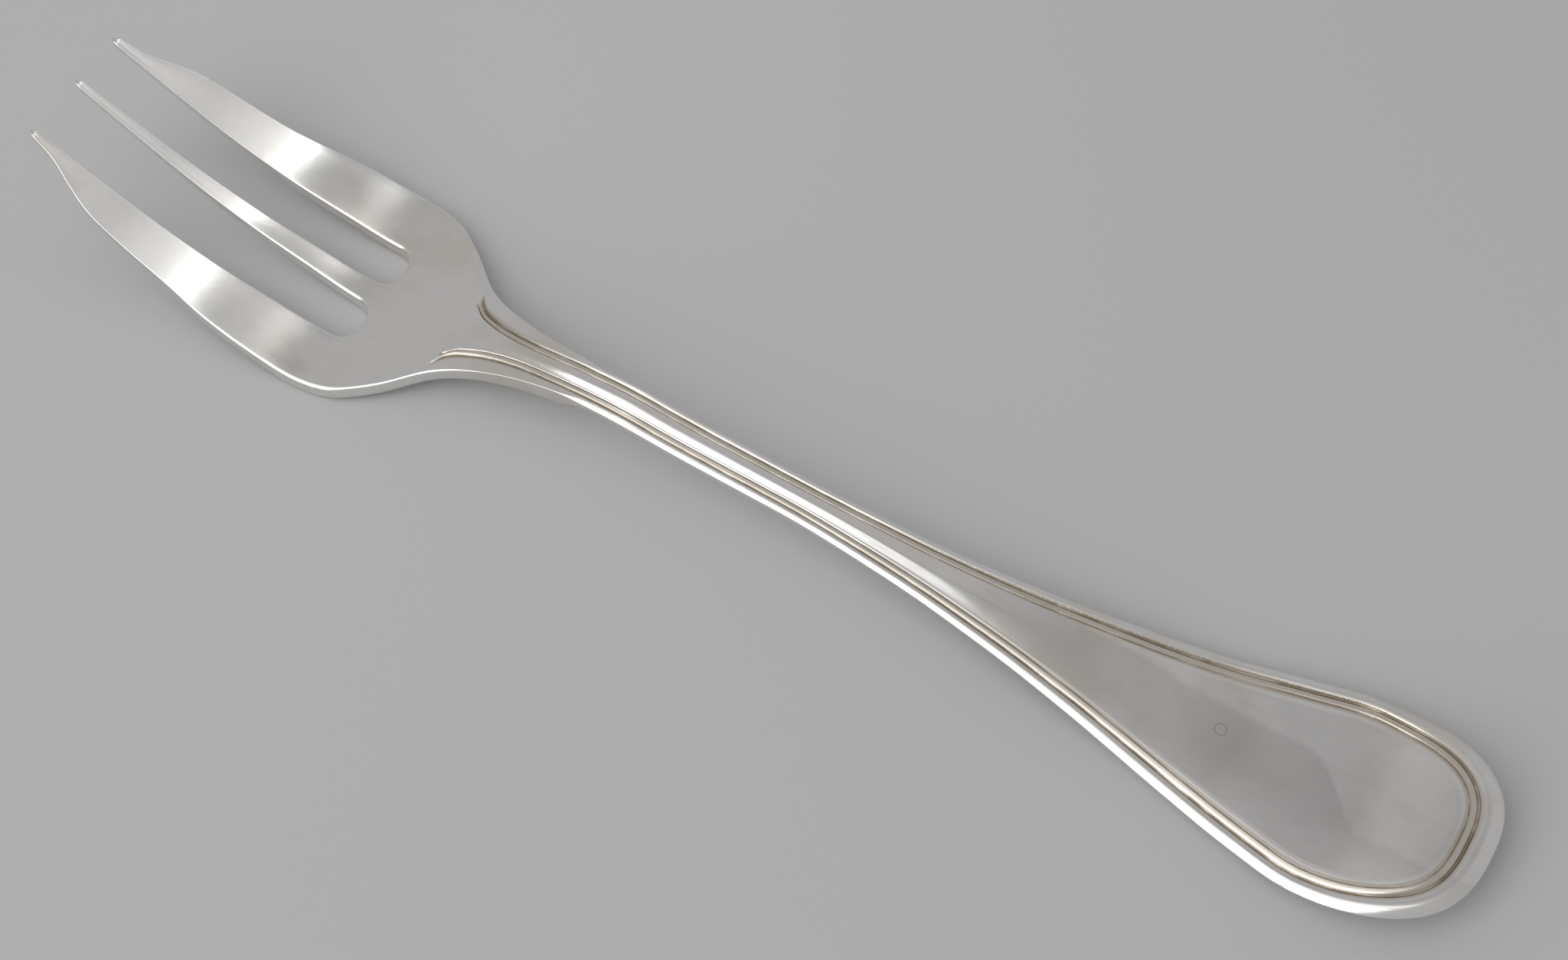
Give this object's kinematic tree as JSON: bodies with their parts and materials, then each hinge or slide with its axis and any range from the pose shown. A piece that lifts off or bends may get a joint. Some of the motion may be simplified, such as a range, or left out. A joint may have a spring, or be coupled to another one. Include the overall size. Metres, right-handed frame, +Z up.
{
  "type": "pastry fork",
  "caption": "Slender metal pastry fork with tapering tines, flared shoulders and a spatula handle bordered by a double thread, lying concave side up.",
  "frame": {"origin": "on the table, under the middle of the fork's length and width, as it lies concave side up", "axes": "+X along the length towards the tips, +Y across to the left tine, +Z up out of the concave side"},
  "size_m": [0.15, 0.0238, 0.0124],
  "materials": {
    "silver_plate": "polished silver plate, lightly worn, tarnish in the grooves"
  },
  "bodies": {
    "root": {"handle": "silver_plate", "stem": "silver_plate", "neck": "silver_plate", "palm": "silver_plate", "left_tine": "silver_plate", "middle_tine": "silver_plate", "right_tine": "silver_plate"}
  },
  "joints": []
}
